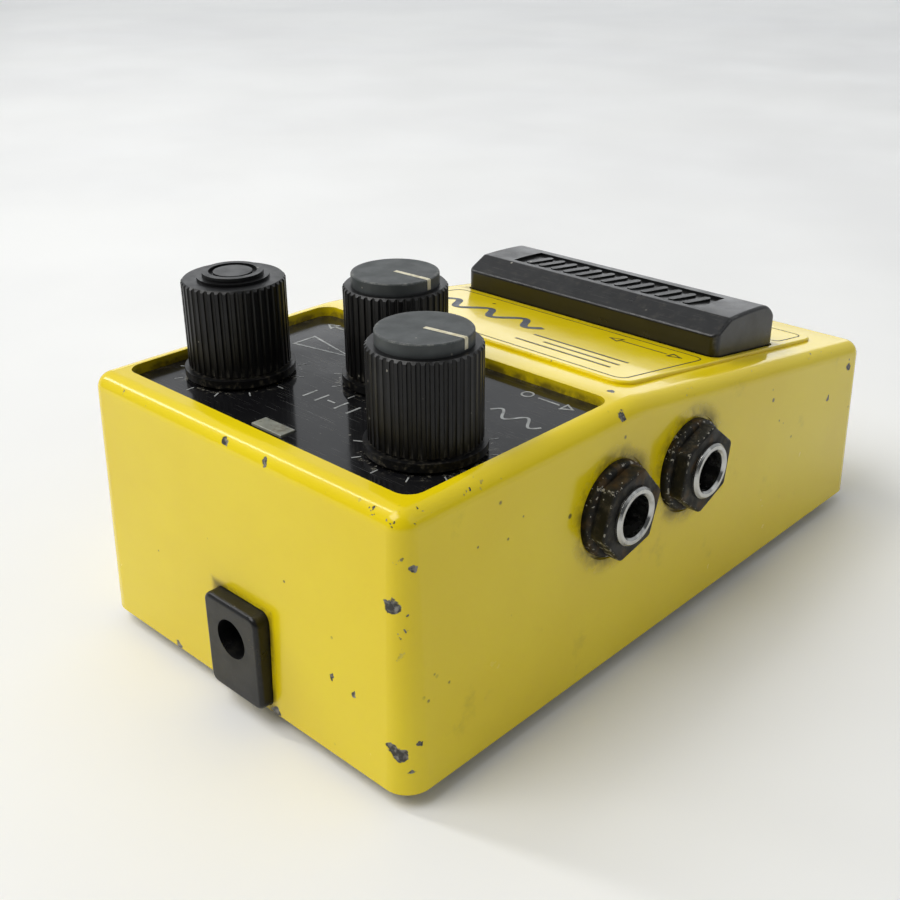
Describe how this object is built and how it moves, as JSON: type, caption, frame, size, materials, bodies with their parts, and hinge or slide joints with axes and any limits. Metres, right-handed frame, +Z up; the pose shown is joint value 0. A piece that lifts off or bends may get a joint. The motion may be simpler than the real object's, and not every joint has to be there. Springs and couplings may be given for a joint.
{
  "type": "guitar effects pedal",
  "caption": "Compact stomp box: wedge-shaped metal casing with a sprung foot bar, rotary knobs on a black panel, side jacks and a rear power socket.",
  "frame": {"origin": "on the floor, under the middle of the whole object's box", "axes": "+Z up; +Y to the rear, where the knobs and the power socket are; -X is the side with the two outputs, +X the side with the input"},
  "size_m": [0.0766, 0.1238, 0.0589],
  "materials": {
    "casing_paint": "gloss yellow enamel on a cast metal casing, chipped and dusty",
    "plate_steel": "plain zinc-plated sheet",
    "screw_steel": "zinc plated",
    "foot_rubber": "matt black rubber",
    "panel_gloss": "gloss black, finely scratched",
    "knob_plastic": "satin black moulding",
    "cap_plastic": "matt dark grey",
    "pointer_cream": "cream inlay",
    "shaft_metal": "turned",
    "pot_metal": "pressed can with a turned bush",
    "nut_metal": "nickel plated",
    "contact_metal": "tinned",
    "lamp_lens": "milky lens, browned with age",
    "jack_plastic": "black moulding",
    "sleeve_chrome": "turned and plated, lightly worn",
    "nut_plastic": "black moulding, dusty",
    "socket_plastic": "satin black moulding",
    "pin_metal": "plated, dulled",
    "wire_red": "red insulation",
    "wire_black": "black insulation",
    "treadle_plastic": "satin black moulding",
    "spring_steel": "music wire",
    "board_green": "green laminate with solder mask",
    "switch_plastic": "black moulding",
    "plunger_plastic": "off-white moulding",
    "ribbon_grey": "grey flat cable",
    "header_plastic": "black moulding",
    "chip_plastic": "moulded black body with plated legs",
    "can_blue": "blue sleeve",
    "resistor_beige": "beige body with plated leads",
    "battery_case": "plain printed can",
    "battery_stud": "nickel plated",
    "snap_plastic": "black vinyl",
    "foam_grey": "soft grey foam"
  },
  "bodies": {
    "root": {"base_plate": "plate_steel", "base_screws": "screw_steel", "battery": "battery_case", "battery_foam": "foam_grey", "battery_lead_black": "wire_black", "battery_lead_red": "wire_red", "battery_snap": "snap_plastic", "battery_terminals": "battery_stud", "board_header": "header_plastic", "control_board": "board_green", "dc_jack_body": "socket_plastic", "dc_jack_contact": "contact_metal", "dc_jack_pin": "pin_metal", "dc_wire_black": "wire_black", "dc_wire_red": "wire_red", "electrolytic_capacitors": "can_blue", "header_pins": "contact_metal", "housing": "casing_paint", "ic_chips": "chip_plastic", "jack_body_front": "jack_plastic", "jack_body_input": "jack_plastic", "jack_body_rear": "jack_plastic", "jack_contact_front": "contact_metal", "jack_contact_input": "contact_metal", "jack_contact_rear": "contact_metal", "jack_nuts": "nut_plastic", "jack_sleeve_front": "sleeve_chrome", "jack_sleeve_input": "sleeve_chrome", "jack_sleeve_rear": "sleeve_chrome", "led": "lamp_lens", "led_leads": "contact_metal", "main_board": "board_green", "panel_plate": "panel_gloss", "pot_body_left": "pot_metal", "pot_body_middle": "pot_metal", "pot_body_right": "pot_metal", "pot_nuts": "nut_metal", "pot_terminals": "contact_metal", "pot_washers": "nut_metal", "resistors": "resistor_beige", "rubber_feet": "foot_rubber", "switch_board": "board_green", "switch_board_screws": "screw_steel", "switch_body": "switch_plastic", "switch_cable": "ribbon_grey", "treadle_spring_left": "spring_steel", "treadle_spring_right": "spring_steel"},
    "knob_left": {"knob_left": "knob_plastic", "knob_cap_left": "cap_plastic", "pointer_left": "pointer_cream", "pot_shaft_left": "shaft_metal"},
    "knob_middle": {"knob_middle": "knob_plastic", "knob_cap_middle": "cap_plastic", "pointer_middle": "pointer_cream", "pot_shaft_middle": "shaft_metal"},
    "knob_right": {"knob_right": "knob_plastic", "pot_shaft_right": "shaft_metal"},
    "treadle": {"treadle": "treadle_plastic"},
    "plunger": {"switch_plunger": "plunger_plastic"}
  },
  "joints": [
    {"name": "knob_left_turn", "type": "hinge", "parent": "root", "child": "knob_left", "pos_m": [-0.02, 0.04075, 0.0405], "axis": [0, 0, -1], "range_deg": [-52, 248]},
    {"name": "knob_middle_turn", "type": "hinge", "parent": "root", "child": "knob_middle", "pos_m": [0, 0.02655, 0.0405], "axis": [0, 0, -1], "range_deg": [-56, 244]},
    {"name": "knob_right_turn", "type": "hinge", "parent": "root", "child": "knob_right", "pos_m": [0.02, 0.04075, 0.0405], "axis": [0, 0, -1], "range_deg": [-52, 248]},
    {"name": "treadle_press", "type": "slide", "parent": "root", "child": "treadle", "axis": [0, 0, -1], "range_m": [0, 0.002], "stiffness_N_per_m": 1000, "springref_m": -0.002, "deforming": ["treadle_spring_left", "treadle_spring_right"]},
    {"name": "plunger_press", "type": "slide", "parent": "root", "child": "plunger", "axis": [0, 0, -1], "range_m": [0, 0.002]}
  ],
  "couplings": [
    {"joint": "plunger_press", "follows": "treadle_press", "ratio": 1}
  ]
}
